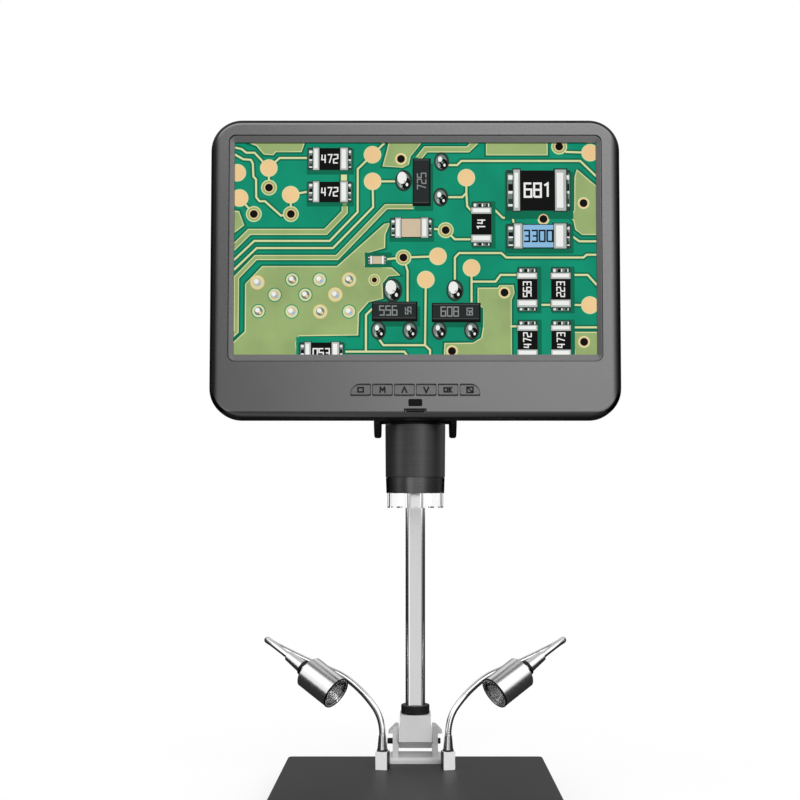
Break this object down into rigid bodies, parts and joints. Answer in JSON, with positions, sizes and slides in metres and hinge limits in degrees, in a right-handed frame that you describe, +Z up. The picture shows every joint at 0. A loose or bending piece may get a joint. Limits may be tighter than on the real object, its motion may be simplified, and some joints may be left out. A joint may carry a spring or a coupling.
{
  "type": "lcd digital microscope",
  "caption": "Desk-top digital microscope: a large screen and a camera barrel on a rack column, with a heavy base and two gooseneck lamps.",
  "frame": {"origin": "middle of the footprint box, on the plane the feet stand on", "axes": "+Z up along the column, +X to the user's right, the screen and the lens side face -Y"},
  "size_m": [0.2508, 0.2144, 0.4301],
  "materials": {
    "base_paint": "satin powder coat",
    "dark_sheet": "matt",
    "ballast_iron": "rough",
    "foot_rubber": "matt",
    "screw_steel": "plain",
    "inlet_plastic": "matt",
    "board_green": "solder mask",
    "bracket_alloy": "bead-blasted",
    "pin_dark": "blackened",
    "collar_black": "satin",
    "column_chrome": "polished",
    "rack_steel": "cut teeth",
    "carriage_alloy": "black anodised",
    "knob_plastic": "satin",
    "pinion_steel": "turned",
    "head_plastic": "fine grain",
    "barrel_alloy": "black anodised",
    "ring_gloss": "polished",
    "lens_glass": "coated",
    "hood_clear": "clear",
    "bezel_plastic": "satin",
    "shell_plastic": "fine grain",
    "frame_plastic": "satin",
    "display_glass": "gloss",
    "key_plastic": "satin",
    "ir_plastic": "gloss",
    "card_plastic": "matt",
    "socket_steel": "stamped",
    "clamp_nickel": "satin",
    "grommet_rubber": "matt",
    "lamp_chrome": "polished",
    "neck_chrome": "polished",
    "reflector_chrome": "mirror"
  },
  "bodies": {
    "stand": {"base_housing": "base_paint", "base_bottom_cover": "dark_sheet", "base_ballast": "ballast_iron", "base_feet": "foot_rubber", "base_screws": "screw_steel", "power_inlet": "inlet_plastic", "lamp_driver_board": "board_green", "column_bracket": "bracket_alloy", "hinge_pin": "pin_dark", "lamp_clamps": "clamp_nickel", "lamp_grommets": "grommet_rubber", "lamp_ferrules": "lamp_chrome"},
    "column_arm": {"hinge_block": "bracket_alloy", "column_collar": "collar_black", "column": "column_chrome", "column_cap": "collar_black", "column_rack": "rack_steel"},
    "carriage": {"carriage_housing": "carriage_alloy", "support_arm": "carriage_alloy", "arm_screws": "screw_steel", "camera_head": "head_plastic", "camera_cover": "head_plastic", "barrel_shell": "barrel_alloy", "lens_cell": "barrel_alloy", "objective_lens": "lens_glass", "sensor_board": "board_green", "screen_hinge_pin": "screw_steel"},
    "focus_wheels": {"focus_pinion": "pinion_steel", "focus_knob_left": "knob_plastic", "focus_knob_right": "knob_plastic"},
    "lock_screw": {"lock_knob": "knob_plastic"},
    "lens_ring": {"barrel_lens_ring": "ring_gloss", "clear_hood": "hood_clear"},
    "screen": {"monitor_bezel": "bezel_plastic", "monitor_rear_shell": "shell_plastic", "screen_frame": "frame_plastic", "display_panel": "display_glass", "main_board": "board_green", "side_ports": "socket_steel", "monitor_screws": "screw_steel", "button_board": "board_green", "ir_window": "ir_plastic", "card_socket": "socket_steel"},
    "card": {"memory_card": "card_plastic"},
    "key_power": {"button_power": "key_plastic"},
    "key_menu": {"button_menu": "key_plastic"},
    "key_up": {"button_up": "key_plastic"},
    "key_down": {"button_down": "key_plastic"},
    "key_ok": {"button_ok": "key_plastic"},
    "key_capture": {"button_capture": "key_plastic"},
    "neck_root_right": {"lamp_neck_lower_right": "neck_chrome"},
    "neck_loop_right": {"lamp_neck_upper_right": "neck_chrome"},
    "lamp_right": {"lamp_shell_right": "lamp_chrome", "lamp_reflector_right": "reflector_chrome", "lamp_lens_right": "lens_glass"},
    "neck_root_left": {"lamp_neck_lower_left": "neck_chrome"},
    "neck_loop_left": {"lamp_neck_upper_left": "neck_chrome"},
    "lamp_left": {"lamp_shell_left": "lamp_chrome", "lamp_reflector_left": "reflector_chrome", "lamp_lens_left": "lens_glass"}
  },
  "joints": [
    {"name": "column_tilt", "type": "hinge", "parent": "stand", "child": "column_arm", "pos_m": [0, 0.07925, 0.029], "axis": [1, 0, 0], "range_deg": [-12, 30]},
    {"name": "focus_slide", "type": "slide", "parent": "column_arm", "child": "carriage", "axis": [0, 0, 1], "range_m": [-0.1, 0.03]},
    {"name": "focus_turn", "type": "hinge", "parent": "carriage", "child": "focus_wheels", "pos_m": [0, 0.09225, 0.2558], "axis": [1, 0, 0], "range_deg": [-1200, 360]},
    {"name": "lock_turn", "type": "hinge", "parent": "carriage", "child": "lock_screw", "pos_m": [0, 0.07925, 0.2808], "axis": [1, 0, 0], "range_deg": [0, 270]},
    {"name": "lens_ring_turn", "type": "hinge", "parent": "carriage", "child": "lens_ring", "pos_m": [0, -0.00075, 0.201], "axis": [0, 0, 1], "range_deg": [-120, 120]},
    {"name": "screen_tilt", "type": "hinge", "parent": "carriage", "child": "screen", "pos_m": [0, 0.00323, 0.2768], "axis": [-1, 0, 0], "range_deg": [0, 20]},
    {"name": "card_slide", "type": "slide", "parent": "screen", "child": "card", "axis": [0, -0.9986, 0.0523], "range_m": [0, 0.014]},
    {"name": "press_power", "type": "slide", "parent": "screen", "child": "key_power", "axis": [0, 0.9986, -0.0523], "range_m": [0, 0.0006], "stiffness_N_per_m": 1000},
    {"name": "press_menu", "type": "slide", "parent": "screen", "child": "key_menu", "axis": [0, 0.9986, -0.0523], "range_m": [0, 0.0006], "stiffness_N_per_m": 1000},
    {"name": "press_up", "type": "slide", "parent": "screen", "child": "key_up", "axis": [0, 0.9986, -0.0523], "range_m": [0, 0.0006], "stiffness_N_per_m": 1000},
    {"name": "press_down", "type": "slide", "parent": "screen", "child": "key_down", "axis": [0, 0.9986, -0.0523], "range_m": [0, 0.0006], "stiffness_N_per_m": 1000},
    {"name": "press_ok", "type": "slide", "parent": "screen", "child": "key_ok", "axis": [0, 0.9986, -0.0523], "range_m": [0, 0.0006], "stiffness_N_per_m": 1000},
    {"name": "press_capture", "type": "slide", "parent": "screen", "child": "key_capture", "axis": [0, 0.9986, -0.0523], "range_m": [0, 0.0006], "stiffness_N_per_m": 1000},
    {"name": "neck_root_bend_right", "type": "hinge", "parent": "stand", "child": "neck_root_right", "pos_m": [0.0222, 0.05185, 0.04045], "axis": [0, -1, 0], "range_deg": [-18, 15]},
    {"name": "neck_loop_bend_right", "type": "hinge", "parent": "neck_root_right", "child": "neck_loop_right", "pos_m": [0.0618, 0.06705, 0.0813], "axis": [0, 0, 1], "range_deg": [-25, 25]},
    {"name": "lamp_bend_right", "type": "hinge", "parent": "neck_loop_right", "child": "lamp_right", "pos_m": [0.08718, 0.05232, 0.09282], "axis": [0.52, -0.8542, 0], "range_deg": [-25, 25]},
    {"name": "neck_root_bend_left", "type": "hinge", "parent": "stand", "child": "neck_root_left", "pos_m": [-0.0222, 0.05185, 0.04045], "axis": [0, 1, 0], "range_deg": [-18, 15]},
    {"name": "neck_loop_bend_left", "type": "hinge", "parent": "neck_root_left", "child": "neck_loop_left", "pos_m": [-0.0618, 0.06705, 0.0813], "axis": [0, 0, -1], "range_deg": [-25, 25]},
    {"name": "lamp_bend_left", "type": "hinge", "parent": "neck_loop_left", "child": "lamp_left", "pos_m": [-0.08718, 0.05232, 0.09282], "axis": [0.52, 0.8542, 0], "range_deg": [-25, 25]}
  ],
  "couplings": [
    {"joint": "focus_turn", "follows": "focus_slide", "rad_per_m": 208.33}
  ]
}
